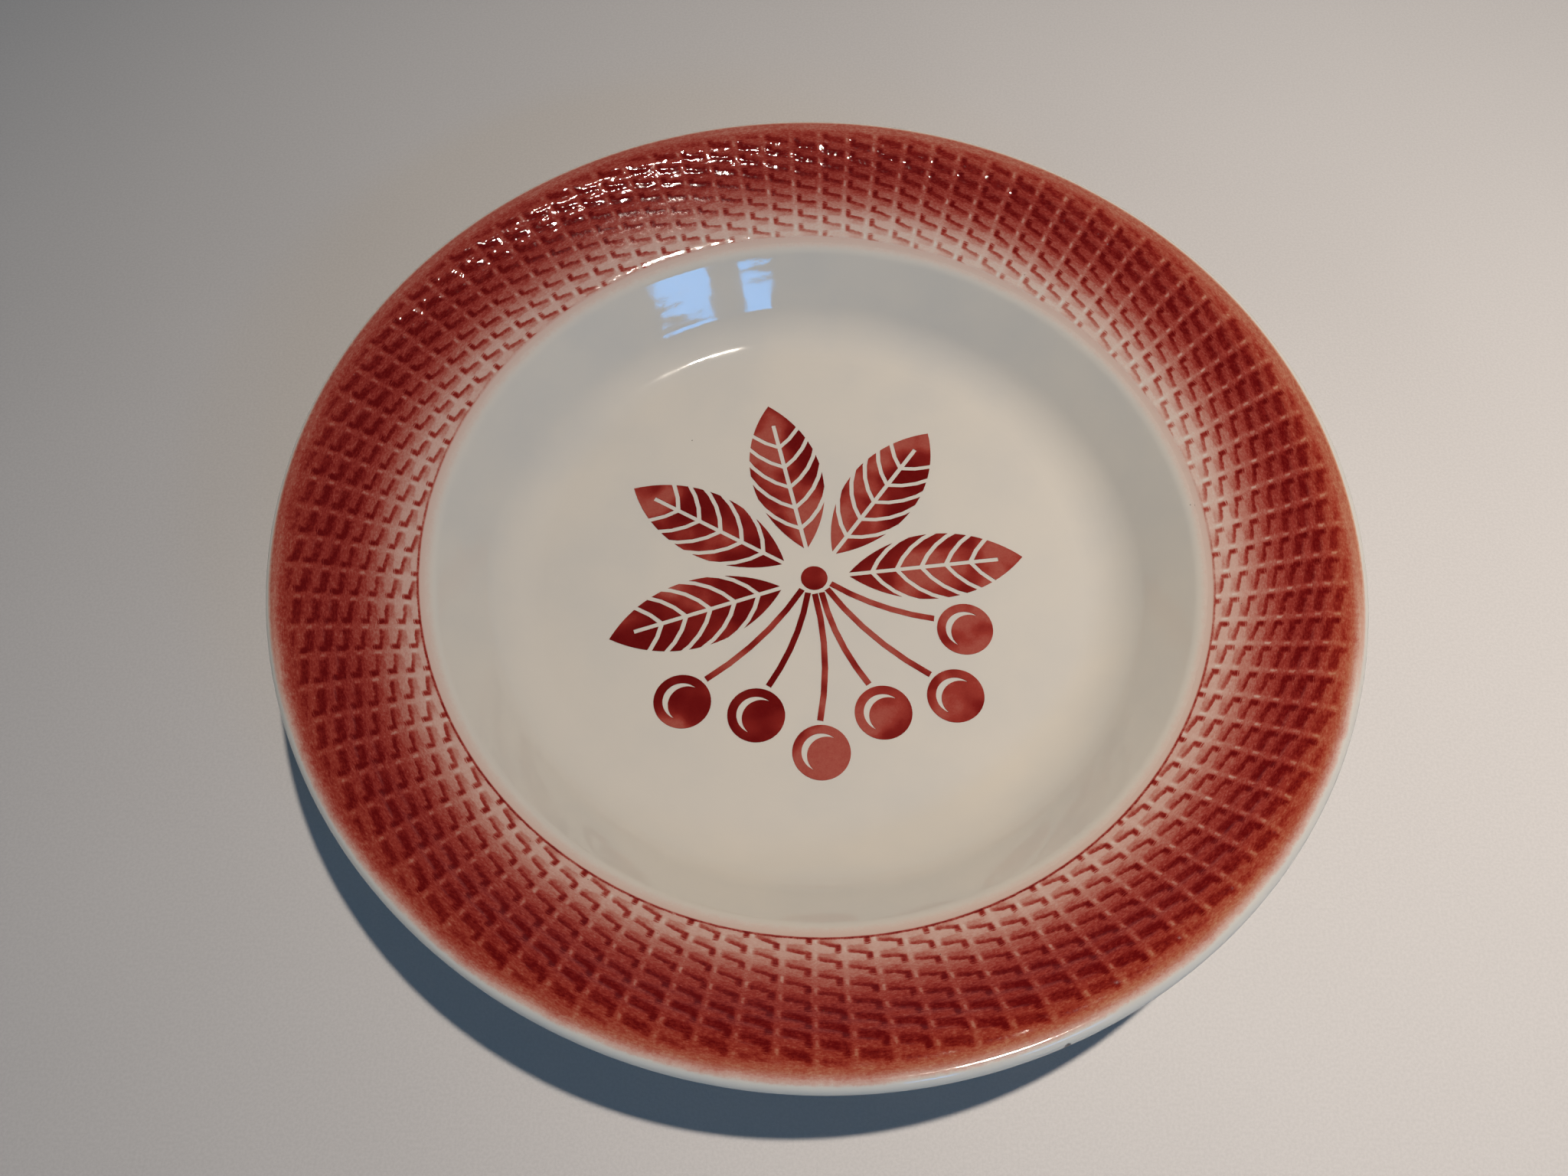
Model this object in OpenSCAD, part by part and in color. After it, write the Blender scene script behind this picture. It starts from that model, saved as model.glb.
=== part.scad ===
// Round hollow faience dish with a basket-weave rim and a stencilled sprig in the well.
// Millimetres. The origin is on the table under the middle of the dish, +Z up.

/* [Dish] */
// Diameter over the lip
dish_d = 300; // [260:1:360]
// Thickness of the fired clay
clay_t = 4.6; // [3.5:0.1:6.5]
// Thickness of the white glaze
glaze_t = 0.4; // [0.3:0.05:0.6]

/* [Well] */
// Depth of the well, from the shoulder down to the floor
well_depth = 22; // [16:0.5:30]
// Slope of the wall of the well, in degrees
wall_lean = 50; // [40:1:60]
// Radius of the cove between floor and wall
cove_r = 22; // [12:1:30]

/* [Rim] */
// Width of the rim seen from above, from the shoulder to the middle of the lip
rim_w = 37; // [30:0.5:45]
// Slope of the rim, in degrees
rim_lean = 22; // [14:1:30]
// Radius of the shoulder between wall and rim, on the back
shoulder_r = 3; // [2:0.5:8]

/* [Woven border] */
// Number of strands woven round the rim
strand_rows = 14; // [8:1:18]
// Height of a strand above the plain band
strand_rise = 0.4; // [0.2:0.05:0.6]
// Width of the plain band between the weave and the lip
plain_band_w = 4.4; // [2:0.2:7]
// Width of the white sill between the shoulder and the weave
sill_w = 1.6; // [0.8:0.2:4]
// Turn of the lip that the colour reaches over, in degrees
lip_wrap = 20; // [8:1:40]

/* [Foot ring] */
// Height of the foot ring under the floor
foot_h = 4; // [3:0.5:8]
// Width of the foot ring
foot_w = 6.5; // [5:0.5:10]
// Distance of the foot ring inside the corner of floor and wall
foot_inset = 4; // [2:0.5:12]
// Radius of the edges that the dish stands on
foot_edge_r = 1.2; // [0.6:0.1:1.6]
// Height of the bare clay above those edges
bare_rise = 0.6; // [0.2:0.1:1.2]

/* [Sprig] */
// Thickness of a coat of colour
colour_t = 0.15; // [0.1:0.05:0.2]
// Plain floor left round the sprig
sprig_margin = 17; // [8:1:28]
// Turn of the whole sprig, in degrees
sprig_turn = 14; // [-45:1:45]
// Diameter of the knot that holds the leaves and stalks together
knot_d = 8; // [5:0.5:11]
// Width of the slits left by the bridges of the stencil
slit_w = 1.3; // [0.8:0.1:1.8]

/* [Leaves] */
// Number of leaves
leaf_count = 5; // [3:1:5]
// Turn from the first leaf to the last, in degrees
leaf_fan = 192; // [180:1:215]
// Width of a leaf
leaf_w = 22; // [16:0.5:24]
// Distance of the leaves from the knot
leaf_gap = 6; // [4:0.5:12]
// Distance between the side veins of a leaf
vein_pitch = 7.5; // [6:0.5:10]
// Angle between a side vein and the midrib where they meet, in degrees
vein_lean = 62; // [50:1:75]
// Radius of a side vein's curve
vein_r = 24; // [18:1:40]

/* [Cherries] */
// Diameter of a cherry
cherry_d = 16.5; // [12:0.5:19]
// Distance of the near cherries inside the far ones
cherry_step = 8; // [0:0.5:10]
// Width of a stalk
stalk_w = 1.8; // [1.2:0.1:2.6]
// Turn of a stalk along its length, in degrees
stalk_bend = 24; // [10:1:40]

/* [Hidden] */
$fn = 180;

// Steps that draw a round stretch of the section, a strand and a curved line of the sprig
arc_steps = 12;
strand_steps = 6;
line_steps = 5;

// Half of the clay and of the glazed thickness, from the middle of the wall
clay_half = clay_t / 2;
glazed_half = clay_half + glaze_t;

// Directions along the rim and square to its face
along_rim = [cos(rim_lean), sin(rim_lean)];
off_rim = [-sin(rim_lean), cos(rim_lean)];

// Corners of the middle line of the wall, as [radius, height]
lip_c = [dish_d / 2 - glazed_half, foot_h + clay_half + well_depth + rim_w * tan(rim_lean)];
shoulder_p = lip_c - rim_w * [1, tan(rim_lean)];
floor_p = shoulder_p - well_depth * [1 / tan(wall_lean), 1];

// The cove and the shoulder round those corners off
cove_mid_r = cove_r + clay_half;
flat_r = floor_p[0] - cove_mid_r * tan(wall_lean / 2);
cove_c = [flat_r, floor_p[1] + cove_mid_r];
shoulder_mid_r = shoulder_r + clay_half;
shoulder_run = shoulder_mid_r * tan((wall_lean - rim_lean) / 2);
shoulder_c = shoulder_p + shoulder_run * along_rim - shoulder_mid_r * off_rim;

// The foot ring stands inside the corner of floor and wall
foot_outer_r = floor_p[0] - foot_inset;
foot_inner_r = foot_outer_r - foot_w;
foot_mid_r = (foot_outer_r + foot_inner_r) / 2;
bare_h = foot_edge_r + bare_rise;

// The weave fills the straight of the rim between the plain band and the sill
rim_run = rim_w / cos(rim_lean) - shoulder_run;
weave_end = rim_run - sill_w;
strand_pitch = (weave_end - plain_band_w) / strand_rows;

// Face of the glazed floor, and the room for the sprig on it
floor_z = foot_h + clay_t + glaze_t;
sprig_r = flat_r - sprig_margin;

// The leaves fan out upwards from the knot
leaf_start_r = knot_d / 2 + leaf_gap;
leaf_l = sprig_r - leaf_start_r;
leaf_turn = leaf_fan / (leaf_count - 1);
leaf_from = 90 - leaf_fan / 2;

// A leaf is the lens between two arcs, and takes up this much of the view from the knot on each side
leaf_bow_r = (pow(leaf_l, 2) + pow(leaf_w, 2)) / (4 * leaf_w);
leaf_bow_drop = leaf_bow_r - leaf_w / 2;
leaf_bow_far = norm([leaf_start_r + leaf_l / 2, leaf_bow_drop]);
leaf_seen = asin(leaf_bow_r / leaf_bow_far) - asin(leaf_bow_drop / leaf_bow_far);
leaf_seen_r = sqrt(leaf_start_r * sprig_r);

// The cherries hang in two rows in the room that the leaves leave below
far_cherry_r = sprig_r - cherry_d / 2;
near_cherry_r = far_cherry_r - cherry_step;
cherry_beside_leaf = asin((leaf_w / 2 + cherry_d / 2 + 2 * slit_w) / near_cherry_r);
stalk_beside_leaf = leaf_seen + asin((stalk_w / 2 + slit_w) / leaf_seen_r);
beside_leaf = max(cherry_beside_leaf, stalk_beside_leaf);
cherry_fan = 360 - leaf_fan - 2 * beside_leaf;
beside_cherry = 2 * asin((cherry_d + slit_w) / 2 / near_cherry_r);
cherry_count = max(2, 1 + floor(cherry_fan / beside_cherry));
cherry_turn = cherry_fan / (cherry_count - 1);
cherry_from = 270 - cherry_fan / 2;

// Angle on the lip where the colour ends
wrap_end = 90 + rim_lean - lip_wrap;

function direction(a) = [cos(a), sin(a)];
function arc(centre, r, from, to, steps = arc_steps) =
    [for (i = [0 : steps]) centre + r * direction(from + (to - from) * i / steps)];
function backwards(points) = [for (i = [len(points) - 1 : -1 : 0]) points[i]];
function without_first(points) = [for (i = [1 : len(points) - 1]) points[i]];

// Stretch of the lip under the colour, from its end inwards to the rim
function lip_wrapped(half) = arc(lip_c, half, wrap_end, 90 + rim_lean);

// Outline of the dish without its foot, with its faces half a thickness off the middle line
function band(half) = concat(
    [[0, floor_p[1] - half]],
    arc(cove_c, cove_mid_r + half, -90, wall_lean - 90),
    arc(shoulder_c, shoulder_mid_r - half, 90 + wall_lean, 90 + rim_lean),
    arc(lip_c, half, rim_lean - 90, wrap_end),
    without_first(lip_wrapped(half)),
    arc(shoulder_c, shoulder_mid_r + half, 90 + rim_lean, 90 + wall_lean),
    arc(cove_c, cove_mid_r - half, wall_lean - 90, -90),
    [[0, floor_p[1] + half]]);

// Height of the middle line over the foot ring, which is rooted there
function root_z(r) = r <= flat_r ? floor_p[1] : cove_c[1] - sqrt(pow(cove_mid_r, 2) - pow(r - flat_r, 2));

// A point on the rim, counted from the lip inwards and up from the face of the glaze
function on_rim(run, height) = lip_c - run * along_rim + (glazed_half + height) * off_rim;

// Tops of the strands, from the plain band inwards
strand_line = [for (row = [0 : strand_rows - 1]) for (i = [0 : strand_steps - 1])
    on_rim(plain_band_w + (row + i / strand_steps) * strand_pitch,
           colour_t + strand_rise * sin(180 * i / strand_steps))];

module foot_section() {
    polygon(concat(
        arc([foot_inner_r + foot_edge_r, foot_edge_r], foot_edge_r, 180, 270),
        arc([foot_outer_r - foot_edge_r, foot_edge_r], foot_edge_r, 270, 360),
        [[foot_outer_r, root_z(foot_outer_r)], [foot_inner_r, root_z(foot_inner_r)]]));
}

module clay_section() {
    polygon(band(clay_half));
    foot_section();
}

// The glaze on the foot ring stops short of the table
module glazed_foot_section() {
    inner_r = foot_inner_r - glaze_t;
    outer_r = foot_outer_r + glaze_t;
    polygon([[inner_r, bare_h], [outer_r, bare_h], [outer_r, root_z(outer_r)], [inner_r, root_z(inner_r)]]);
}

module glaze_section() {
    difference() {
        union() {
            polygon(band(glazed_half));
            glazed_foot_section();
        }
        clay_section();
    }
}

// The room inside the foot ring, up to the middle of the floor
module base_room() {
    square([foot_mid_r, floor_p[1]]);
}

module clay_body() {
    color("burlywood") rotate_extrude() clay_section();
}

module glaze_coat() {
    color("ivory") rotate_extrude() difference() {
        glaze_section();
        base_room();
    }
}

module base_glaze() {
    color("ivory") rotate_extrude() intersection() {
        glaze_section();
        base_room();
    }
}

module woven_border() {
    color("firebrick") rotate_extrude() polygon(concat(
        lip_wrapped(glazed_half + colour_t),
        strand_line,
        [on_rim(weave_end, colour_t), on_rim(weave_end, 0)],
        backwards(lip_wrapped(glazed_half))));
}

// Lays a flat outline on the floor of the well as a coat of colour
module stencilled() {
    translate([0, 0, floor_z]) rotate([0, 0, sprig_turn]) linear_extrude(colour_t) children();
}

// A curved line of even width along an arc
module arc_line(centre, r, from, to, width) {
    polygon(concat(arc(centre, r + width / 2, from, to, line_steps),
                   backwards(arc(centre, r - width / 2, from, to, line_steps))));
}

// Lance-shaped leaf along +X from its foot at the origin
module leaf_outline() {
    intersection_for(side = [-1, 1])
        translate([leaf_l / 2, side * leaf_bow_drop]) circle(leaf_bow_r);
}

// Slits along the midrib and along both rows of side veins, which curve towards the tip
module leaf_slits() {
    translate([0, -slit_w / 2]) square([leaf_l - vein_pitch, slit_w]);
    for (x = [vein_pitch : vein_pitch : leaf_l - 2 * vein_pitch]) for (side = [0, 1])
        mirror([0, side]) translate([x, 0])
            arc_line(vein_r * [sin(vein_lean), -cos(vein_lean)], vein_r,
                     90 + vein_lean, 90 + vein_lean - 2 * asin(leaf_w / 2 / vein_r), slit_w);
}

module leaf_colour() {
    color("brown") stencilled()
        for (k = [0 : leaf_count - 1]) rotate(leaf_from + k * leaf_turn) translate([leaf_start_r, 0])
            difference() {
                leaf_outline();
                leaf_slits();
            }
}

// Far and near cherries take turns round the fan
function cherry_angle(k) = cherry_from + k * cherry_turn;
function cherry_at(k) = k % 2 == 0 ? far_cherry_r : near_cherry_r;

// A round cherry with a crescent of bare glaze on one side
module cherry() {
    glint_d = cherry_d - 4 * slit_w;
    difference() {
        circle(d = cherry_d);
        difference() {
            circle(d = glint_d);
            translate([slit_w, -slit_w]) circle(d = glint_d);
        }
    }
}

module cherry_colour() {
    color("darkred") stencilled()
        for (k = [0 : cherry_count - 1])
            translate(cherry_at(k) * direction(cherry_angle(k))) cherry();
}

// Each stalk runs from the knot to its cherry in a slight bow
module stalk(k) {
    from = knot_d / 2 + slit_w;
    to = cherry_at(k) - cherry_d / 2 - slit_w;
    bow_r = (to - from) / 2 / sin(stalk_bend / 2);
    rotate(cherry_angle(k)) mirror([0, k < cherry_count / 2 ? 0 : 1])
        arc_line([(from + to) / 2, -bow_r * cos(stalk_bend / 2)], bow_r,
                 90 + stalk_bend / 2, 90 - stalk_bend / 2, stalk_w);
}

module stalk_colour() {
    color("maroon") stencilled() {
        circle(d = knot_d);
        for (k = [0 : cherry_count - 1]) stalk(k);
    }
}

clay_body();
glaze_coat();
base_glaze();
woven_border();
leaf_colour();
cherry_colour();
stalk_colour();
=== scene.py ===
"""Looks of a round faience dish: white glaze, a basket-weave rim sprayed red and an airbrushed sprig.

The file is laid out as an add-on and run as a script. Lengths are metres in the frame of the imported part.
"""

import math

import bmesh
import bpy
from bpy.props import FloatProperty, FloatVectorProperty, IntProperty, PointerProperty
from bpy.types import Operator, Panel, PropertyGroup
from mathutils import Matrix, Vector


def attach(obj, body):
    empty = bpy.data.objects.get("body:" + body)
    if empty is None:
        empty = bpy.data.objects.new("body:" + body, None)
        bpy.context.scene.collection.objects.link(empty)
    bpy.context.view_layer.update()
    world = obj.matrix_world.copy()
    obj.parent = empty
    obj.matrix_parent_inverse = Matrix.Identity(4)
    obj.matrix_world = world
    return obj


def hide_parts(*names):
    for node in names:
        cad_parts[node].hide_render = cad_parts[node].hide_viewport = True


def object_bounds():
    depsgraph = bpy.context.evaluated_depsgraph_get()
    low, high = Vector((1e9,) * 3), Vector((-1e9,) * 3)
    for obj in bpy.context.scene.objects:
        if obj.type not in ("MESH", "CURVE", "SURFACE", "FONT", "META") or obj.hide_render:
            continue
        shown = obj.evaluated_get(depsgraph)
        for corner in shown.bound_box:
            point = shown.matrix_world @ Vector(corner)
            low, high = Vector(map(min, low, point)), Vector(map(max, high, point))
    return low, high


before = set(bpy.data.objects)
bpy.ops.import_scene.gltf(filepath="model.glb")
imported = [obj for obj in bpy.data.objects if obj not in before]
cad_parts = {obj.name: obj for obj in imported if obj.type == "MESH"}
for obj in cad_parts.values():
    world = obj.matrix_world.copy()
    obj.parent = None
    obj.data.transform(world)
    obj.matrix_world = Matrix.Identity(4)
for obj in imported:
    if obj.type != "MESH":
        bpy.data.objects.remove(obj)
CAD_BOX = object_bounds()

bl_info = {
    "name": "Faience Dish",
    "version": (1, 0, 0),
    "blender": (4, 5, 0),
    "location": "3D View > Sidebar > Dish",
    "description": "Builds the looks of a glazed dish with a woven rim round its packed frame",
    "category": "Object",
}

MM = 0.001
BODY = "root"
STENCILLED_NODES = ("leaf_colour", "cherry_colour", "stalk_colour")

# Density of the spray at which the colour has run together, and the row at which the weave starts to rise
FULL_RUN = 2.7
WEAVE_START = -1.25

# Bearing and turn of the chip on the lip, and the middle of the pinholes
CHIP = math.radians(293), math.radians(14)
PINHOLES = (114.2 * MM, 14.5 * MM, 33.5 * MM)


def length(name, description, millimetres):
    """A size that the sidebar shows as a length."""
    return FloatProperty(name=name, description=description, default=millimetres * MM, min=0, unit="LENGTH",
                         precision=5)


def angle(name, description, degrees):
    """An angle, kept in radians and shown in degrees."""
    return FloatProperty(name=name, description=description, default=math.radians(degrees), subtype="ANGLE")


def colour(name, description, rgb):
    """A linear colour."""
    return FloatVectorProperty(name=name, description=description, default=rgb, size=3, min=0, max=1,
                               subtype="COLOR")


def amount(name, description, default):
    """A plain number that is not negative."""
    return FloatProperty(name=name, description=description, default=default, min=0, precision=3)


class DishSizes(PropertyGroup):
    """Section of the dish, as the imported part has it."""

    radius: length("Radius", "Half the width over the lip", CAD_BOX[1].x / MM)
    clay: length("Clay", "Thickness of the fired clay", 4.6)
    glaze: length("Glaze", "Thickness of the white glaze", 0.4)
    well_depth: length("Well depth", "From the shoulder down to the floor", 22)
    wall_lean: angle("Wall slope", "Slope of the wall of the well", 50)
    cove_radius: length("Cove radius", "Between the floor and the wall", 22)
    rim_width: length("Rim width", "From the shoulder to the middle of the lip, seen from above", 37)
    rim_lean: angle("Rim slope", "Slope of the rim", 22)
    shoulder_radius: length("Shoulder radius", "Between the wall and the rim, on the back", 3)
    foot_height: length("Foot height", "Height of the foot ring under the floor", 4)
    foot_width: length("Foot width", "Width of the foot ring", 6.5)
    foot_inset: length("Foot inset", "From the corner of floor and wall inwards to the foot ring", 4)
    bare_height: length("Bare height", "Height of the bare clay on the foot ring", 1.8)
    corner_radius: length("Corner radius", "Of the glaze where the foot ring meets the back", 1.6)


class WeaveSizes(PropertyGroup):
    """Basket weave on the rim."""

    stakes: IntProperty(name="Stakes", description="Number of upright stakes, an even one", default=96, min=8)
    plain_band: length("Plain band", "Between the lip and the first row of strands", 4.2)
    row_pitch: length("Row pitch", "From one row of strands to the next", 2.372)
    inner_edge: length("Inner edge", "From the lip to the end of the weave", 36.9)
    coat: length("Coat", "Thickness of the coloured glaze", 0.15)
    relief: length("Relief", "Height of the strands", 0.38)
    swell: length("Swell", "Height of the swelling of the rim behind the lip", 1.25)
    swell_run: length("Swell place", "From the lip to the crest of the swelling on the near side", 9.5)
    bead: length("Bead", "Height of the bead along the inner edge", 0.12)
    fibre_length: length("Fibre length", "Length of the grain along the strands", 1.1)
    fibre_width: length("Fibre width", "Width of the grain along the strands", 0.4)


class SpraySettings(PropertyGroup):
    """Red spray on the rim, as densities from 0 for bare glaze, and rows of strands."""

    thin: amount("Thin", "Density at the inner end of the fade", 0.19)
    thick: amount("Thick", "Density of the outer rows on top of that", 1.19)
    fade_start: amount("Fade start", "Row of strands at which the fade begins", 4.05)
    fade_end: amount("Fade end", "Row of strands at which the fade ends", 12.3)
    pooled: amount("Pooled", "Density in the hollows of the weave", 1.28)
    ridged: amount("Ridged", "Density that the stakes lack in the thick spray", 0.50)
    grain: amount("Grain", "Share of the fine grain", 0.30)
    fibre: amount("Fibre", "Share of the streaks along the strands", 0.45)
    mist: amount("Mist", "Density of the mist between the weave and the well", 0.10)


class DishColours(PropertyGroup):
    """Colours of the glazes and of the clay."""

    cream: colour("Cream", "White glaze", (0.545, 0.508, 0.452))
    cream_grey: colour("Grey cream", "White glaze where it is thinner", (0.512, 0.485, 0.442))
    blush: colour("Blush", "The first breath of spray", (0.505, 0.345, 0.290))
    rose: colour("Rose", "Thin spray", (0.405, 0.175, 0.135))
    brick: colour("Brick", "Middling spray", (0.320, 0.075, 0.054))
    russet: colour("Russet", "Thick spray", (0.262, 0.031, 0.0205))
    red: colour("Red", "Full spray", (0.180, 0.0102, 0.0066))
    deep_red: colour("Deep red", "Spray that has run together", (0.108, 0.0010, 0.0005))
    # Orange of the thin spray along the lip, partly its own colour and partly painted warm light on the near
    # right
    rust_and_warm_light_tint: colour("Rust tint", "Tint of the thin spray along the lip", (1.0, 0.94, 0.66))
    clay: colour("Clay", "Bare clay on the foot ring", (0.620, 0.480, 0.320))
    dirt: colour("Dirt", "Pinholes and worn spots", (0.060, 0.032, 0.018))


class StageSettings(PropertyGroup):
    """Camera, floor and lights."""

    lens: FloatProperty(name="Lens", description="Focal length of the camera", default=30.938, unit="CAMERA")
    camera_place: FloatVectorProperty(name="Camera", description="Place of the camera", size=3,
                                      default=(-0.00898, -0.1874, 0.3665), subtype="XYZ", unit="LENGTH")
    camera_tilt: angle("Camera tilt", "Turn of the camera up from straight down", 27.216)
    camera_roll: angle("Camera roll", "Turn of the camera about its own axis", 1.296)
    floor: colour("Floor", "Pale table top", (0.499, 0.479, 0.469))
    lamp_place: FloatVectorProperty(name="Lamp", description="Place of the lamp", size=3,
                                    default=(0.712, 0.374, 4.0), subtype="XYZ", unit="LENGTH")
    lamp_power: FloatProperty(name="Lamp power", description="Power of the lamp", default=3.86, unit="POWER")
    lamp_colour: colour("Lamp colour", "A little warm", (1.0, 0.885, 0.765))
    near_light: colour("Near light", "Light of the room from behind the camera", (0.30, 0.48, 0.62))
    far_light: colour("Far light", "Light of the room from beyond the dish", (0.190, 0.240, 0.265))
    high_light: colour("High light", "Light of the room from above", (0.056, 0.070, 0.085))
    window_light: colour("Window light", "Cool light of the windows behind the camera", (0.02, 0.40, 1.0))
    window_power: FloatProperty(name="Window power", description="Watts per square metre of window",
                                default=38)


# Sums that take either plain numbers or sockets


class Value:
    """A socket of a shader that takes part in Python arithmetic."""

    def __init__(self, finish, socket):
        self.finish, self.socket = finish, socket

    def math(self, operation, *others):
        return self.finish.math(operation, self, *others)

    def __add__(self, other):
        return self.math("ADD", other)

    def __sub__(self, other):
        return self.math("SUBTRACT", other)

    def __rsub__(self, other):
        return self.finish.math("SUBTRACT", other, self)

    def __mul__(self, other):
        return self.math("MULTIPLY", other)

    def __truediv__(self, other):
        return self.math("DIVIDE", other)

    __radd__, __rmul__ = __add__, __mul__


def sine(x):
    return x.math("SINE") if isinstance(x, Value) else math.sin(x)


def toward(theta, degrees):
    """1 on the side of the dish at this bearing, 0 for the right and 90 for the far side, and -1 opposite."""
    return sine(theta + math.radians(90 - degrees))


def whole_part(x):
    return x.math("FLOOR") if isinstance(x, Value) else math.floor(x)


def wrapped(x, low, high):
    """x brought between low and high by whole turns."""
    if isinstance(x, Value):
        return x.math("WRAP", high, low)
    return low + (x - low) % (high - low)


def larger(x, y):
    return x.math("MAXIMUM", y) if isinstance(x, Value) else max(x, y)


def rise(x, low, high):
    """0 below low, 1 above high and a smooth rise between them."""
    if isinstance(x, Value):
        return x.finish.node("ShaderNodeMapRange", {"interpolation_type": "SMOOTHSTEP"},
                             {"Value": x, "From Min": low, "From Max": high})
    t = min(max((x - low) / (high - low), 0), 1)
    return t * t * (3 - 2 * t)


def fall(x, low, high):
    return 1 - rise(x, low, high)


# Section of the dish


def direction(a):
    return Vector((math.cos(a), math.sin(a)))


class Form:
    """Corners and arcs of the dish's section, as (radius, height)."""

    def __init__(self, sizes):
        self.sizes = sizes
        self.clay_half = sizes.clay / 2
        self.glazed_half = self.clay_half + sizes.glaze
        self.along_rim = direction(sizes.rim_lean)
        self.off_rim = direction(sizes.rim_lean + math.pi / 2)
        rim_rise = sizes.rim_width * math.tan(sizes.rim_lean)
        floor_mid = sizes.foot_height + self.clay_half
        self.lip = Vector((sizes.radius - self.glazed_half, floor_mid + sizes.well_depth + rim_rise))
        corner = self.lip - Vector((sizes.rim_width, rim_rise))
        self.floor_corner = corner - sizes.well_depth * Vector((1 / math.tan(sizes.wall_lean), 1))
        self.cove_radius = sizes.cove_radius + self.clay_half
        self.flat_r = self.floor_corner.x - self.cove_radius * math.tan(sizes.wall_lean / 2)
        self.cove = Vector((self.flat_r, floor_mid + self.cove_radius))
        self.shoulder_radius = sizes.shoulder_radius + self.clay_half
        shoulder_run = self.shoulder_radius * math.tan((sizes.wall_lean - sizes.rim_lean) / 2)
        self.shoulder = corner + shoulder_run * self.along_rim - self.shoulder_radius * self.off_rim
        self.floor_mid = floor_mid
        self.foot_outer = self.floor_corner.x - sizes.foot_inset
        self.foot_inner = self.foot_outer - sizes.foot_width

    def root_angle(self, r, half):
        """Angle round the cove at which the back, half a thickness out, has this radius."""
        return math.asin((r - self.flat_r) / (self.cove_radius + half)) - math.pi / 2

    def legs(self, half, foot_r):
        """Arcs of a face of the dish, from the floor over the lip to the back.

        Each is a centre, a radius, the angles at which it begins and ends, and a number of steps.
        """
        quarter, wall, rim = math.pi / 2, self.sizes.wall_lean, self.sizes.rim_lean
        return [
            (self.cove, self.cove_radius - half, -quarter, wall - quarter, 14),
            (self.shoulder, self.shoulder_radius + half, quarter + wall, quarter + rim, 8),
            (self.lip, half, quarter + rim, rim - quarter, 20),
            (self.shoulder, self.shoulder_radius - half, quarter + rim, quarter + wall, 5),
            (self.cove, self.cove_radius + half, wall - quarter, self.root_angle(foot_r, half), 9),
        ]

    def on_rim(self, run, height):
        """A point on the rim, counted from the lip inwards and up from the face of the glaze."""
        return self.lip - run * self.along_rim + (self.glazed_half + height) * self.off_rim

    def rim_run(self, r, z):
        """How far inwards from the lip a point of the rim is, along its slope."""
        return (self.lip.x - r) * self.along_rim.x + (self.lip.y - z) * self.along_rim.y


class Section:
    """An outline that is drawn point by point in the XZ plane and then spun into a closed skin."""

    SECTORS = 24
    WELD = 0.001 * MM

    def __init__(self, start):
        self.bm = bmesh.new()
        self.first = self.last = self.bm.verts.new((start[0], 0, start[1]))

    def line(self, point, parts=1):
        """A straight edge to a point, in equal parts. Gives its last vertex."""
        step = (Vector((point[0], 0, point[1])) - self.last.co) / parts
        for _ in range(parts):
            self.last = bmesh.ops.extrude_vert_indiv(self.bm, verts=[self.last])["verts"][0]
            self.last.co += step
        return self.last

    def arc(self, centre, turn, steps):
        """A turn about a centre, with a positive angle from outwards to upwards."""
        turned = bmesh.ops.spin(self.bm, geom=[self.last], cent=(centre[0], 0, centre[1]), axis=(0, -1, 0),
                                angle=turn, steps=steps)
        self.last = next(g for g in turned["geom_last"] if isinstance(g, bmesh.types.BMVert))

    def walk(self, legs):
        """Straight edges and arcs through a list of legs."""
        for centre, radius, start, end, steps in legs:
            self.line(centre + radius * direction(start))
            self.arc(centre, end - start, steps)

    def close(self):
        self.bm.edges.new((self.last, self.first))

    def spun(self, steps):
        """The outline turned once round the axis, sector by sector, with its poles and seams closed."""
        round_axis = {"cent": (0, 0, 0), "axis": (0, 0, 1)}
        bmesh.ops.spin(self.bm, geom=[*self.bm.verts, *self.bm.edges], angle=math.tau / self.SECTORS,
                       steps=steps // self.SECTORS, **round_axis)
        bmesh.ops.spin(self.bm, geom=[*self.bm.verts, *self.bm.edges, *self.bm.faces], use_duplicate=True,
                       angle=math.tau * (1 - 1 / self.SECTORS), steps=self.SECTORS - 1, **round_axis)
        bmesh.ops.remove_doubles(self.bm, verts=self.bm.verts, dist=self.WELD)
        bmesh.ops.recalc_face_normals(self.bm, faces=self.bm.faces)
        return self.bm


def backwards(legs):
    return [(centre, radius, end, start, steps) for centre, radius, start, end, steps in reversed(legs)]


def piece(name, bm, material, node, sharp):
    """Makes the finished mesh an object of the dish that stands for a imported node."""
    for face in bm.faces:
        face.smooth = True
    mesh = bpy.data.meshes.new(name)
    bm.to_mesh(mesh)
    bm.free()
    mesh.set_sharp_from_angle(angle=sharp)
    mesh.materials.append(material)
    made = bpy.data.objects.new(name, mesh)
    bpy.context.scene.collection.objects.link(made)
    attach(made, BODY)
    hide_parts(node)


# Basket weave


def weave_tile(theta, run, weave):
    """Place in the weave: a from one stake to the next, and b from -1 to 1 over the two rows that meet there.

    The stake at a = 0 lies over the inner row, and the one at a = 1 over the outer row.
    """
    rows = (run - weave.plain_band) * (1 / weave.row_pitch)
    rows = rows + 0.06 * sine(theta * 5 + 0.8) + 0.04 * sine(theta * 17 + 2.1)
    lean = (0.005 + 0.012 * toward(theta, 10)) * (rows - 7)
    across = theta * (weave.stakes / math.tau) - 0.07 + lean + 0.02 * sine(theta * 29 + 0.4)
    column = whole_part(across)
    return across - column, wrapped(rows - column - 1, -1, 1), rows


def strand_edge(a):
    """Where the outer strand ends and the inner one begins."""
    return -0.03 - 0.58 * a


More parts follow.
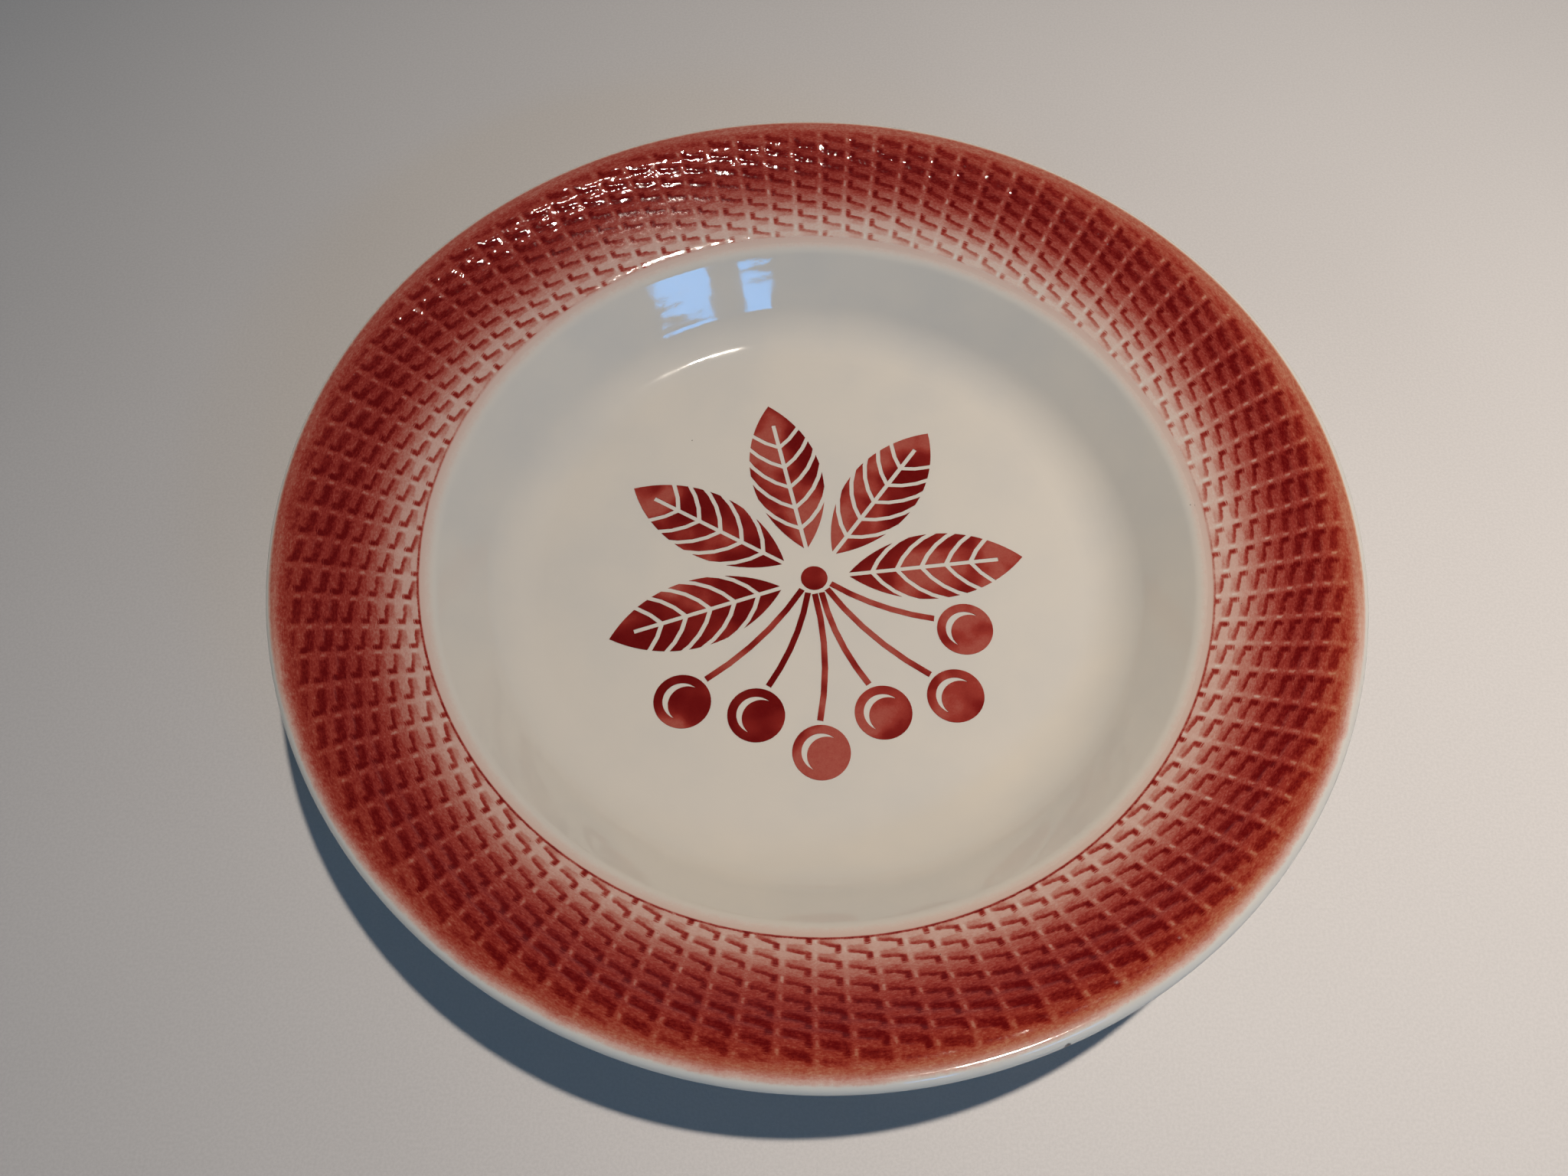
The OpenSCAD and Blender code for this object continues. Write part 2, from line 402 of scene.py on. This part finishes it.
def weave_shade(a, b, spread):
    """How much colour has run into the weave, from 0 on the strands to 1 beside a stake.

    Spread is how far the colour has run out of the hollows.
    """
    inner, soft = b - strand_edge(a), spread * 0.4
    rest = 0.20 * fall(a, 0.40, 0.95) * fall(b, 0.66, 0.98)
    pool = fall(inner - spread, 0.20, 0.68 - 0.12 * a)
    along = rest + (0.62 + 0.30 * a - rest) * pool
    band = rise(inner, -0.07 - soft, 0.10 + soft) * along * rise(a, 0.02, 0.20) * fall(a, 0.74, 0.94)
    beside = rise(a, 0.62, 0.76) * fall(a, 0.81, 0.92)
    groove = beside * rise(b, -1.0, -0.88) * fall(b, -0.26, 0.02)
    under = 0.8 * beside * rise(b, 0.78, 0.98)
    return larger(larger(band, groove), under)


def weave_ridge(a, b):
    """1 along the middle of a stake, on the row that it lies over."""
    inner = fall(a, 0.01, 0.10) * rise(b, -0.16, 0.02) * fall(b, 0.55, 0.75)
    outer = rise(a, 0.91, 0.99) * rise(b, -1.0, -0.90) * fall(b, -0.45, -0.25)
    return larger(inner, outer)


def stake_line(a):
    """1 along the middle of a stake, on every row."""
    return larger(fall(a, 0.02, 0.16), rise(a, 0.86, 0.98))


def strand_crown(a, b):
    """Roundness across a strand, 1 along its middle and 0 along its edges."""
    edge = strand_edge(a)
    low, high = (-1, edge) if b < edge else (edge, 1)
    across = (2 * b - low - high) / (high - low)
    return 1 - across * across


def strand_arch(a, b):
    """How far a strand is bent up, 1 where it passes over a stake and 0 where it goes under one."""
    return math.sin(math.pi / 2 * (a if b > strand_edge(a) else 1 + a))


def woven_share(rows, run, weave):
    """1 on the weave, and 0 on the plain band and inside the weave."""
    return rise(rows, WEAVE_START, -0.1) * fall(run, weave.inner_edge - 0.7 * MM, weave.inner_edge)


def rim_swell(theta, run, weave):
    """Height of the rim over a straight slope, which swells behind the lip, closest to it on the far side."""
    crest = weave.swell_run * (1 - 0.26 * rise(toward(theta, 90), -0.4, 0.3))
    outer = math.sin(math.pi / 2 * min(max(run / crest, 0), 1))
    inner = min((weave.inner_edge - run) / (weave.inner_edge - crest), 1)
    return weave.swell * outer * max(inner, 0)


def edge_bead(theta, run, weave):
    """Height of the low, uneven bead that ends the weave."""
    uneven = 0.6 + 0.4 * sine(theta * 131)
    return weave.bead * uneven * fall(abs(run - weave.inner_edge + 0.5 * MM), 0, 0.9 * MM)


def weave_relief(theta, run, weave):
    """Height of the weave over the straight rim, with soft slopes where the glaze has filled it."""
    a, b, rows = weave_tile(theta, run, weave)
    inner = b - strand_edge(a)
    dip = rise(inner, -0.12, 0.12) * fall(inner, 0.15, 0.95) * rise(a, 0.0, 0.22) * fall(a, 0.6, 1.0)
    pit = rise(a, 0.48, 0.76) * fall(a, 0.80, 0.99) * rise(b, -1.0, -0.75) * fall(b, -0.40, 0.30)
    arch = strand_crown(a, b) * strand_arch(a, b)
    height = 0.50 - 0.42 * max(dip, pit) + 0.36 * arch + 0.14 * weave_ridge(a, b)
    filled = 1 - 0.88 * rise(run, 11 * MM, 19 * MM)
    woven = weave.relief * height * filled * woven_share(rows, run, weave)
    return rim_swell(theta, run, weave) + edge_bead(theta, run, weave) + woven


# Materials


class Finish:
    """The nodes of a material, or of the light of the room, under construction."""

    def __init__(self, block, shader="Principled BSDF", place="Object"):
        block.use_nodes = True
        self.block, self.tree = block, block.node_tree
        self.shader = self.tree.nodes[shader]
        self.place = self.node("ShaderNodeTexCoord", output=place)

    def node(self, kind, settings=None, inputs=None, output=0):
        """Adds a node: its settings first, then the numbers, colours or links of its sockets."""
        made = self.tree.nodes.new(kind)
        for name, setting in (settings or {}).items():
            if name == "stops":
                self.set_stops(made.color_ramp, setting)
            else:
                setattr(made, name, setting)
        self.fill(made, inputs or {})
        return Value(self, made.outputs[output])

    def fill(self, node, inputs):
        for key, given in inputs.items():
            if isinstance(given, Value):
                self.tree.links.new(given.socket, node.inputs[key])
            else:
                node.inputs[key].default_value = given

    @staticmethod
    def set_stops(ramp, stops):
        for place, rgb in stops[1:-1]:
            ramp.elements.new(place).color = (*rgb, 1)
        for element, (place, rgb) in zip((ramp.elements[0], ramp.elements[-1]), (stops[0], stops[-1])):
            element.position, element.color = place, (*rgb, 1)

    def math(self, operation, *operands):
        return self.node("ShaderNodeMath", {"operation": operation}, dict(enumerate(operands)))

    def noise(self, size, detail=2.0, roughness=0.5, place=None):
        """Soft noise from 0 to 1 whose patches have this size."""
        return self.node("ShaderNodeTexNoise", inputs={
            "Vector": place or self.place, "Scale": 1 / size, "Detail": detail, "Roughness": roughness})

    def specks(self, spacing, size, share):
        """Round dots of this size on a share of the cells of a random grid, with soft rims."""
        cells = {"feature": "F1", "distance": "EUCLIDEAN"}
        inputs = {"Vector": self.place, "Scale": 1 / spacing}
        far = self.node("ShaderNodeTexVoronoi", cells, inputs, "Distance")
        drawn = self.node("ShaderNodeTexVoronoi", cells, inputs, "Color")
        pick = self.node("ShaderNodeSeparateColor", inputs={"Color": drawn})
        reach = size / spacing / 2
        return fall(far, 0.5 * reach, reach) * rise(pick, 1 - share - 0.02, 1 - share)

    def mix(self, factor, a, b, blend="MIX"):
        """A colour between two colours, or a colour tinted by another."""
        pair = [given if isinstance(given, Value) else (*given, 1) for given in (a, b)]
        return self.node("ShaderNodeMix", {"data_type": "RGBA", "blend_type": blend},
                         {0: factor, 6: pair[0], 7: pair[1]}, output=2)

    def polar(self):
        """Angle, radius and height of the point that is shaded."""
        split = self.node("ShaderNodeSeparateXYZ", inputs={0: self.place})
        x, y, z = (Value(self, split.socket.node.outputs[axis]) for axis in "XYZ")
        return y.math("ARCTAN2", x), (x * x + y * y).math("SQRT"), z

    def distance(self, place):
        """How far the point that is shaded is from a place."""
        return self.node("ShaderNodeVectorMath", {"operation": "DISTANCE"}, {0: self.place, 1: place},
                         "Value")

    def bump(self, height, distance):
        """Normal of a surface raised by height times a distance."""
        return self.node("ShaderNodeBump", inputs={"Strength": 1, "Distance": distance, "Height": height})

    def done(self, **inputs):
        """Fills the inputs of the shader, with _ for a space in their names, and gives the finished block."""
        self.fill(self.shader, {name.replace("_", " "): given for name, given in inputs.items()})
        return self.block


def cream(finish, colours):
    """White glaze with faint clouds."""
    clouds = finish.noise(28 * MM, detail=3)
    return finish.mix(rise(clouds, 0.35, 0.75), colours.cream, colours.cream_grey)


def sprayed(finish, density, colours):
    """Colour of the glaze under this much red spray, from none at 0 to colour that has run together."""
    stops = [(0.0, colours.cream), (0.044, colours.blush), (0.156, colours.rose), (0.296, colours.brick),
             (0.444, colours.russet), (0.648, colours.red), (1.0, colours.deep_red)]
    ramp = finish.node("ShaderNodeValToRGB", {"stops": stops}, {"Fac": density * (1 / FULL_RUN)})
    return finish.mix(rise(density, 0.0, 0.06), cream(finish, colours), ramp)


def spray_grain(finish):
    """Fine grain of the spray, about -1 to 1."""
    fine = finish.noise(0.45 * MM, detail=2, roughness=0.7)
    coarse = finish.noise(1.6 * MM, detail=3, roughness=0.65)
    return (fine - 0.5) * 1.6 + (coarse - 0.5) * 1.8


def fibres(finish, theta, run, weave):
    """Grain drawn out along the strands, about -1 to 1."""
    along, mid = weave.fibre_length, 130 * MM
    place = finish.node("ShaderNodeCombineXYZ", inputs={
        "X": theta.math("COSINE") * mid, "Y": sine(theta) * mid, "Z": run * (along / weave.fibre_width)})
    return (finish.noise(along, detail=2, roughness=0.65, place=place) - 0.5) * 3


def overspray(r, spray):
    """Thin mist of red on the sill between the weave and the well."""
    return spray.mist * rise(r, 107 * MM, 112.5 * MM) * fall(r, 116 * MM, 125 * MM)


def white_glaze_material(colours, form, spray):
    """Cream-white glaze with wheel marks, pinholes and a chip on the lip."""
    finish = Finish(bpy.data.materials.new("white_glaze"))
    _, r, z = finish.polar()
    over_rim = (r - form.lip.x) * form.off_rim.x + (z - form.lip.y) * form.off_rim.y
    mist = overspray(r, spray) * rise(over_rim, 0, 0.5 * MM) * (1 + 0.5 * spray_grain(finish))
    base = sprayed(finish, mist, colours)
    off_chip = finish.distance(lip_point(form, *CHIP)) + finish.noise(1.2 * MM) * (0.9 * MM)
    chip = fall(off_chip, 1.1 * MM, 1.5 * MM)
    pits = finish.specks(1.7 * MM, 0.55 * MM, 0.55) * fall(finish.distance(PINHOLES), 5.5 * MM, 9 * MM)
    specks = finish.specks(17 * MM, 0.45 * MM, 0.35)
    marks = larger(larger(pits, specks), chip)
    base = finish.mix(marks * 0.85, base, colours.dirt)
    wheel = sine(r * (math.tau / (2.3 * MM)) + finish.noise(40 * MM) * 9)
    waves = finish.noise(17 * MM, detail=2)
    peel = finish.noise(1.1 * MM, detail=2, roughness=0.6)
    height = waves + peel * 0.03 + wheel * 0.010 - marks * 0.8
    return finish.done(Base_Color=base, Roughness=0.04 + 0.03 * rise(waves, 0.3, 0.7) + marks * 0.5,
                       Normal=finish.bump(height, 0.16 * MM), IOR=1.5)


def lip_point(form, theta, turn):
    """A point on the glazed lip, turned up from its widest place."""
    place = form.lip + form.glazed_half * direction(turn)
    return (place.x * math.cos(theta), place.x * math.sin(theta), place.y)


def lip_cover(theta, run, left, far, ragged):
    """Share of the spray on the lip and on the band behind it, where it is thinner, and thinnest in front.

    Ragged is how much further out the colour reaches here.
    """
    reach = rise(run + ragged, -2.2 * MM, 2.4 * MM)
    edge = rise(run - far * (0.6 - 0.35 * left) * MM, -2.6 * MM, -1.6 * MM)
    band = 1 - (0.23 - 0.09 * left) * fall(run, 2 * MM, 9.5 * MM)
    front = 1 - 0.3 * rise(toward(theta, 280), 0.6, 1.0) * fall(run, 1.5 * MM, 3.5 * MM)
    return larger(reach, 0.72 * far) * edge * band * front


def edge_line(theta, run, weave, grain, patches):
    """Uneven line of colour along the inner edge of the weave, darkest on the near side."""
    off_line = (run - weave.inner_edge + 0.3 * MM + grain * (0.12 * MM)).math("ABSOLUTE")
    strength = rise(toward(theta, 260), -0.5, 0.75) * (1.3 + 0.9 * grain + 2.4 * patches)
    return fall(off_line, 0.06 * MM, 0.50 * MM) * strength


def rust_and_warm_light_share(theta, run, far, density):
    """Share of the rust tint in the thin spray behind the lip, most of it on the near right, where it is
    partly painted warm light.
    """
    behind_lip = larger(rise(run, -0.8 * MM, 1.5 * MM), far) * fall(run, 3 * MM, 11 * MM)
    return behind_lip * rise(density, 0.02, 0.3) * (0.56 + 0.44 * toward(theta, 315))


def red_spray_material(colours, form, weave, spray):
    """Red spray that is dense in the hollows and outer rows of the weave and fades to white inwards."""
    finish = Finish(bpy.data.materials.new("red_spray"))
    theta, r, z = finish.polar()
    run = form.rim_run(r, z)
    left, near = toward(theta, 200), toward(theta, 235)
    far = rise(toward(theta, 94), -0.50, 0.08)
    grain, fibre = spray_grain(finish), fibres(finish, theta, run, weave)
    fray = finish.noise(1.3 * MM, detail=3, roughness=0.7) - 0.5
    patches = finish.noise(4 * MM, detail=2) - 0.5
    clouds = finish.noise(13 * MM, detail=3, roughness=0.55) - 0.5
    a, b, rows = weave_tile(theta + clouds * 0.01, run + (fray * 0.7 + patches * 1.2) * MM, weave)
    woven = woven_share(rows, run, weave)
    fade = fall(rows + clouds * 2.4 - near * 0.5, spray.fade_start, spray.fade_end)
    # A little more spray on the left side darkens it: partly uneven spraying, partly painted shade of that
    # side
    base = (spray.thin + spray.thick * fade) * (1 + 0.03 * left + 0.45 * clouds)
    pooled = (spray.pooled + 0.22 * rise(base, 0.25, 0.9)) * (1 + 1.6 * patches)
    shade = weave_shade(a, b, 0.44 * fall(rows, 3.5, 7.5)) * woven * pooled
    ridged = (0.10 + spray.ridged * rise(base, 0.4, 1.1)) * (1 - 0.2 * left - 1.2 * patches)
    ridge = larger(weave_ridge(a, b), (0.22 - 0.10 * left) * stake_line(a)) * woven * ridged
    ragged = (0.25 + 0.38 * left + clouds * 1.6 + grain * 0.3) * MM
    faded = 1 - 0.55 * rise(rows, 9.5, 13) * fall(near, -0.9, -0.2)
    inside = fall(run, weave.inner_edge - 0.4 * MM, weave.inner_edge + 0.5 * MM)
    density = (base + shade - ridge) * lip_cover(theta, run, left, far, ragged) * faded * inside
    density = density + edge_line(theta, run, weave, grain, patches)
    density = density * (1 + spray.grain * grain + spray.fibre * fibre) + overspray(r, spray) * (1 - inside)
    # Orange tint of the thin spray behind the lip: its own colour, and painted warm light where it is
    # strongest, on the near right
    rust_and_warm_light = rust_and_warm_light_share(theta, run, far, density)
    red = finish.mix(rust_and_warm_light, sprayed(finish, density, colours), colours.rust_and_warm_light_tint, "MULTIPLY")
    specks = finish.specks(3.1 * MM, 0.42 * MM, 0.22) * rise(run, 8 * MM, 20 * MM)
    waves = finish.noise(6 * MM, detail=2)
    peel = finish.noise(0.9 * MM, detail=2, roughness=0.6)
    lumps = finish.noise(2.6 * MM, detail=1) * far * fall(run, 10 * MM, 18 * MM)
    return finish.done(Base_Color=finish.mix(specks * 0.75, red, colours.dirt),
                       Roughness=0.04 + 0.05 * rise(peel, 0.3, 0.7),
                       Normal=finish.bump(waves * 0.6 + peel * 0.1 + lumps * 2, 0.12 * MM), IOR=1.5)


def stencil_material(colours):
    """Brown-red airbrushed through a stencil, in clouds, with spatter."""
    finish = Finish(bpy.data.materials.new("stencil_red"))
    puffs = finish.noise(17 * MM, detail=2, roughness=0.45)
    grain = spray_grain(finish)
    density = 2.6 - 1.7 * rise(puffs, 0.38, 0.66) + 0.2 * grain
    waves = finish.noise(17 * MM, detail=2)
    return finish.done(Base_Color=sprayed(finish, density, colours),
                       Roughness=0.05 + 0.04 * rise(waves, 0.3, 0.7),
                       Normal=finish.bump(waves + finish.noise(1.1 * MM) * 0.05, 0.3 * MM), IOR=1.5)


def clay_material(colours):
    """Dry, finely pitted fired clay with a grubby standing edge."""
    finish = Finish(bpy.data.materials.new("bare_clay"))
    grain = finish.noise(0.7 * MM, detail=4, roughness=0.65)
    stains = finish.noise(9 * MM, detail=3)
    pits = finish.specks(1.9 * MM, 0.6 * MM, 0.4)
    base = finish.mix(rise(stains, 0.42, 0.80) * 0.45 + pits * 0.4, colours.clay, colours.dirt)
    return finish.done(Base_Color=base, Roughness=0.78 + 0.14 * grain,
                       Normal=finish.bump(grain - pits * 0.6, 0.12 * MM))


def floor_material(stage):
    """Matt pale table top with a fine grain."""
    finish = Finish(bpy.data.materials.new("table_top"))
    grain = finish.noise(0.8 * MM, detail=3, roughness=0.7)
    clouds = finish.noise(160 * MM, detail=2)
    darker = tuple(0.85 * c for c in stage.floor)
    base = finish.mix(rise(clouds, 0.3, 0.7) * 0.22 + rise(grain, 0.35, 0.65) * 0.5, stage.floor, darker)
    return finish.done(Base_Color=base, Roughness=0.52 + 0.10 * grain, Normal=finish.bump(grain, 0.06 * MM))


# Operators


class DISH_OT_glaze(Operator):
    """Spins the white glaze of the dish and of its underside"""

    bl_idname = "dish.glaze"
    bl_label = "White glaze"

    STEPS = 360

    def execute(self, context):
        sizes = context.scene.dish_sizes
        form = Form(sizes)
        material = white_glaze_material(context.scene.dish_colours, form, context.scene.dish_spray)
        piece("glaze_skin", self.coat(form, sizes), material, "glaze_coat", math.radians(40))
        piece("base_skin", self.base(form, sizes), material, "base_glaze", math.radians(40))
        return {"FINISHED"}

    def coat(self, form, sizes):
        """From the middle of the well over the lip to the foot ring, and back along the clay."""
        outer, foot = form.foot_outer + sizes.glaze, sizes.bare_height
        section = Section((0, form.floor_mid + form.glazed_half))
        section.walk(form.legs(form.glazed_half, outer))
        corner = section.last
        section.line((outer, foot + 0.5 * sizes.glaze))
        section.line((form.foot_outer, foot))
        section.walk(backwards(form.legs(form.clay_half, form.foot_outer)))
        section.line((0, form.floor_mid + form.clay_half))
        section.close()
        bmesh.ops.bevel(section.bm, geom=[corner], affect="VERTICES", offset=sizes.corner_radius, segments=4,
                        profile=0.5, material=-1)
        return section.spun(self.STEPS)

    def base(self, form, sizes):
        """The underside inside the foot ring."""
        inner, foot = form.foot_inner - sizes.glaze, sizes.bare_height
        section = Section((0, sizes.foot_height - sizes.glaze))
        corner = section.line((inner, sizes.foot_height - sizes.glaze))
        section.line((inner, foot + 0.5 * sizes.glaze))
        section.line((form.foot_inner, foot))
        section.line((form.foot_inner, sizes.foot_height))
        section.line((0, sizes.foot_height))
        section.close()
        bmesh.ops.bevel(section.bm, geom=[corner], affect="VERTICES", offset=sizes.corner_radius, segments=4,
                        profile=0.5, material=-1)
        return section.spun(self.STEPS)


class DISH_OT_woven_rim(Operator):
    """Spins the coloured glaze of the rim and raises the basket weave on it"""

    bl_idname = "dish.woven_rim"
    bl_label = "Woven rim"

    STEPS_PER_STAKE = 8
    WEAVE_PARTS, BAND_PARTS, LIP_PARTS = 96, 2, 7
    CROWDING = 0.5
    COLOUR_END = math.radians(45)
    THIN, RUN_OUT, EDGE_GAP = 0.02 * MM, 1.6 * MM, 0.2 * MM
    ON_TOP = 0.9

    def execute(self, context):
        scene = context.scene
        form, weave = Form(scene.dish_sizes), scene.dish_weave
        material = red_spray_material(scene.dish_colours, form, weave, scene.dish_spray)
        bm = self.coat(form, weave)
        self.raise_weave(bm, form, weave)
        piece("woven_rim", bm, material, "woven_border", math.radians(75))
        return {"FINISHED"}

    def coat(self, form, weave):
        """A thin coat from inside the weave up the rim and over the lip, which runs out at both ends."""
        start, end = math.pi / 2 + form.sizes.rim_lean, weave.inner_edge + self.RUN_OUT
        thick, thin = form.glazed_half + weave.coat, form.glazed_half + self.THIN
        shift = (thick**2 - thin**2) / 2 / (thick - thin * math.cos(start - self.COLOUR_END))
        centre = form.lip + shift * direction(start)
        lip_end = form.lip + thin * direction(self.COLOUR_END)
        turn = math.atan2(lip_end.y - centre.y, lip_end.x - centre.x) - start
        section = Section(form.on_rim(end, 0))
        section.line(form.on_rim(end, self.THIN))
        section.line(form.on_rim(weave.inner_edge + self.EDGE_GAP, weave.coat))
        weave_start = weave.plain_band + WEAVE_START * weave.row_pitch
        section.line(form.on_rim(weave_start, weave.coat), self.WEAVE_PARTS)
        section.line(form.on_rim(0, weave.coat), self.BAND_PARTS)
        section.arc(centre, turn, self.LIP_PARTS)
        section.line(form.lip + form.glazed_half * direction(self.COLOUR_END))
        section.arc(form.lip, start - self.COLOUR_END, self.LIP_PARTS)
        section.close()
        return section.spun(weave.stakes * self.STEPS_PER_STAKE)

    def raise_weave(self, bm, form, weave):
        """Crowds the rows of vertices at the stakes, then lifts those on top by the weave's height."""
        for vert in bm.verts:
            r, theta = math.hypot(vert.co.x, vert.co.y), math.atan2(vert.co.y, vert.co.x)
            theta -= self.CROWDING * math.sin(weave.stakes * theta) / weave.stakes
            place = Vector((r, vert.co.z))
            run = form.rim_run(*place)
            if (place - form.lip).dot(form.off_rim) > form.glazed_half + self.ON_TOP * weave.coat:
                place += weave_relief(theta, run, weave) * form.off_rim
            vert.co = (place.x * math.cos(theta), place.x * math.sin(theta), place.y)


class DISH_OT_stencil(Operator):
    """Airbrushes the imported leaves, cherries and stalks"""

    bl_idname = "dish.stencil"
    bl_label = "Stencilled sprig"

    def execute(self, context):
        material = stencil_material(context.scene.dish_colours)
        for node in STENCILLED_NODES:
            dress(node, material)
        return {"FINISHED"}


class DISH_OT_clay(Operator):
    """Gives the packed clay body its bare, dry finish"""

    bl_idname = "dish.clay"
    bl_label = "Bare clay"

    def execute(self, context):
        dress("clay_body", clay_material(context.scene.dish_colours))
        return {"FINISHED"}


def dress(node, material):
    """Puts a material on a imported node."""
    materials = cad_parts[node].data.materials
    materials.clear()
    materials.append(material)


class DISH_OT_stage(Operator):
    """Sets up the table, the lights and the camera"""

    bl_idname = "dish.stage"
    bl_label = "Stage"

    FLOOR_HALF = 3.0
    SENSOR_WIDTH, CLIP_START = 36, 0.01
    LAMP_WIDTH, LAMP_AIM, LAMP_SPREAD = 0.14, Vector((0.326, -0.036, 0)), math.radians(25)
    PANES = (((1.03, -1.29, 1.06), (0.44, 0.165)), ((0.57, -1.66, 1.08), (0.25, 0.20)))

    def execute(self, context):
        scene, stage = context.scene, context.scene.dish_stage
        self.floor(scene, stage)
        self.room(scene, stage)
        lamp = self.light(scene, "lamp", stage.lamp_place, self.LAMP_AIM, stage.lamp_power, stage.lamp_colour)
        lamp.shape, lamp.size, lamp.spread = "DISK", self.LAMP_WIDTH, self.LAMP_SPREAD
        for number, (place, (width, height)) in enumerate(self.PANES, 1):
            power = stage.window_power * width * height
            pane = self.light(scene, f"pane_{number}", place, Vector(), power, stage.window_light)
            pane.shape, pane.size, pane.size_y = "RECTANGLE", width, height
        self.camera(scene, stage)
        scene.view_settings.view_transform = "Standard"
        return {"FINISHED"}

    def floor(self, scene, stage):
        bm = bmesh.new()
        bmesh.ops.create_grid(bm, x_segments=8, y_segments=8, size=self.FLOOR_HALF)
        mesh = bpy.data.meshes.new("table_top")
        bm.to_mesh(mesh)
        bm.free()
        mesh.materials.append(floor_material(stage))
        floor = bpy.data.objects.new("table_top", mesh)
        scene.collection.objects.link(floor)

    def room(self, scene, stage):
        """Cool light from the sides of the room, most of it from the near side, and little from above."""
        finish = Finish(bpy.data.worlds.new("room"), "Background", "Generated")
        side, height = (finish.node("ShaderNodeSeparateXYZ", inputs={0: finish.place}, output=axis)
                        for axis in "YZ")
        low = finish.mix(rise(side, -1.0, 0.1), stage.near_light, stage.far_light)
        scene.world = finish.done(Color=finish.mix(rise(height, 0.25, 0.65), low, stage.high_light))

    def light(self, scene, name, place, aim, power, rgb):
        made = bpy.data.objects.new(name, bpy.data.lights.new(name, "AREA"))
        made.data.energy, made.data.color = power, rgb
        made.location = place
        made.rotation_euler = (aim - Vector(place)).to_track_quat("-Z", "Y").to_euler()
        scene.collection.objects.link(made)
        return made.data

    def camera(self, scene, stage):
        camera = bpy.data.cameras.new("camera")
        camera.sensor_fit, camera.sensor_width, camera.lens = "HORIZONTAL", self.SENSOR_WIDTH, stage.lens
        made = bpy.data.objects.new("camera", camera)
        turn = Matrix.Rotation(stage.camera_tilt, 4, "X") @ Matrix.Rotation(stage.camera_roll, 4, "Z")
        made.matrix_world = Matrix.Translation(stage.camera_place) @ turn
        camera.clip_start = self.CLIP_START
        scene.collection.objects.link(made)
        scene.camera = made


class DISH_PT_panel(Panel):
    """Lists the pieces of the dish with their sizes and colours"""

    bl_idname = "DISH_PT_panel"
    bl_label = "Faience dish"
    bl_space_type = "VIEW_3D"
    bl_region_type = "UI"
    bl_category = "Dish"

    def draw(self, context):
        for operator in OPERATORS:
            self.layout.operator(operator.bl_idname)
        for name, group in GROUPS.items():
            box = self.layout.box()
            for prop in group.__annotations__:
                box.prop(getattr(context.scene, name), prop)


GROUPS = {"dish_sizes": DishSizes, "dish_weave": WeaveSizes, "dish_spray": SpraySettings,
          "dish_colours": DishColours, "dish_stage": StageSettings}
OPERATORS = (DISH_OT_clay, DISH_OT_glaze, DISH_OT_woven_rim, DISH_OT_stencil, DISH_OT_stage)
CLASSES = (*GROUPS.values(), *OPERATORS, DISH_PT_panel)


def register():
    for cls in CLASSES:
        bpy.utils.register_class(cls)
    for name, group in GROUPS.items():
        setattr(bpy.types.Scene, name, PointerProperty(type=group))


def unregister():
    for name in GROUPS:
        delattr(bpy.types.Scene, name)
    for cls in reversed(CLASSES):
        bpy.utils.unregister_class(cls)


def main():
    register()
    bpy.ops.dish.clay()
    bpy.ops.dish.glaze()
    bpy.ops.dish.woven_rim()
    bpy.ops.dish.stencil()
    bpy.ops.dish.stage()


if __name__ == "__main__":
    main()
